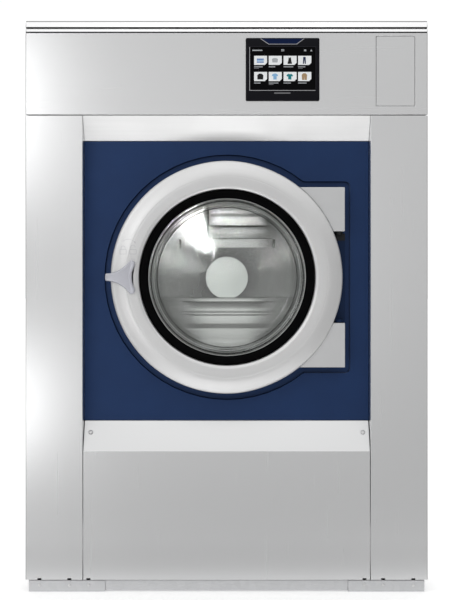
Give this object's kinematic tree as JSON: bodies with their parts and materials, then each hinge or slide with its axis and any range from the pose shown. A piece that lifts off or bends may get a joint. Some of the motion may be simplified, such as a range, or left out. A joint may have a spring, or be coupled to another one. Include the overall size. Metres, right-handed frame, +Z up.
{
  "type": "industrial washing machine",
  "caption": "Free-standing front-loading industrial washer: steel cabinet with recessed round porthole door, touch control panel, detergent drawer and a belt-driven drum in a sprung tub.",
  "frame": {"origin": "on the floor at the middle of the machine's outline, in the plane under the two base rails", "axes": "+Z up; -Y is the front, where the door is; +X is to the right seen from the front"},
  "size_m": [1.02, 1.16, 1.4475],
  "materials": {
    "stainless_panel": "fine satin sheet",
    "galvanised_steel": "matt zinc grey",
    "navy_paint": "satin dark blue powder coat",
    "silver_paint": "satin silver lacquer on a casting",
    "hinge_casting": "satin silver lacquer on a casting",
    "black_rubber": "matt moulded rubber",
    "dark_steel": "black satin coat",
    "polished_steel": "bright stainless sheet",
    "charcoal_plastic": "fine matt moulding",
    "screen_surface": "glossy black touch surface",
    "grey_plastic": "moulded grey plastic",
    "cast_parts": "rough black-grey casting",
    "motor_casting": "dark painted casting",
    "clear_glass": "clear pressed glass",
    "hub_plastic": "pale grey satin moulding"
  },
  "bodies": {
    "cabinet": {"foot_rail_left": "galvanised_steel", "foot_rail_right": "galvanised_steel", "base_beam_front": "galvanised_steel", "base_beam_rear": "galvanised_steel", "side_panel_left": "stainless_panel", "side_panel_right": "stainless_panel", "front_column_left": "stainless_panel", "front_column_right": "stainless_panel", "rear_panel": "galvanised_steel", "top_deck": "stainless_panel", "top_cover": "stainless_panel", "fascia": "stainless_panel", "upper_slope_strip": "stainless_panel", "door_panel": "navy_paint", "lower_front_panel": "stainless_panel", "panel_screw_left": "polished_steel", "panel_screw_right": "polished_steel", "display_housing": "charcoal_plastic", "touch_screen": "screen_surface", "detergent_box": "grey_plastic", "water_inlet_cold": "polished_steel", "water_inlet_hot": "polished_steel", "drain_outlet": "grey_plastic", "mains_box": "grey_plastic", "cable_gland": "dark_steel", "door_bellows": "black_rubber", "hinge_bracket": "dark_steel", "door_lock": "dark_steel", "spring_front_left": "dark_steel", "spring_front_right": "dark_steel", "spring_rear_left": "dark_steel", "spring_rear_right": "dark_steel"},
    "door": {"door_ring": "silver_paint", "glass_gasket": "black_rubber", "door_glass": "clear_glass", "hinge_arm_upper": "hinge_casting", "hinge_arm_lower": "hinge_casting"},
    "handle": {"door_handle": "silver_paint", "latch_tongue": "dark_steel"},
    "drawer": {"detergent_drawer": "stainless_panel"},
    "tub": {"tub_shell": "polished_steel", "tub_front": "polished_steel", "tub_back": "polished_steel", "bearing_housing": "cast_parts", "tub_cradle_left": "dark_steel", "tub_cradle_right": "dark_steel", "drive_motor": "motor_casting", "drain_valve": "grey_plastic", "drive_belt": "black_rubber"},
    "drum": {"drum_shell": "polished_steel", "drum_front": "polished_steel", "drum_back": "polished_steel", "hub_cover": "hub_plastic", "drum_baffle": "polished_steel", "drum_shaft": "cast_parts", "drum_pulley": "cast_parts", "lifter_1": "polished_steel", "lifter_2": "polished_steel", "lifter_3": "polished_steel"},
    "motor_rotor": {"motor_pulley": "cast_parts"}
  },
  "joints": [
    {"name": "door_swing", "type": "hinge", "parent": "cabinet", "child": "door", "pos_m": [0.2865, -0.53, 0.7981], "axis": [0, 0, 1], "range_deg": [0, 115]},
    {"name": "handle_turn", "type": "hinge", "parent": "door", "child": "handle", "pos_m": [-0.264, -0.566, 0.7981], "axis": [0, 1, 0], "range_deg": [0, 60]},
    {"name": "drawer_slide", "type": "slide", "parent": "cabinet", "child": "drawer", "axis": [0, -1, 0], "range_m": [0, 0.19]},
    {"name": "tub_bounce", "type": "slide", "parent": "cabinet", "child": "tub", "axis": [0, 0, 1], "range_m": [-0.008, 0.008], "stiffness_N_per_m": 90000, "springref_m": 0.0335, "deforming": ["spring_front_left", "spring_front_right", "spring_rear_left", "spring_rear_right"]},
    {"name": "drum_spin", "type": "hinge", "parent": "tub", "child": "drum", "pos_m": [0.0013, 0, 0.7981], "axis": [0, 1, 0], "continuous": true},
    {"name": "motor_spin", "type": "hinge", "parent": "tub", "child": "motor_rotor", "pos_m": [0.2, 0, 0.215], "axis": [0, 1, 0], "continuous": true}
  ],
  "couplings": [
    {"joint": "motor_spin", "follows": "drum_spin", "ratio": 4.5}
  ]
}
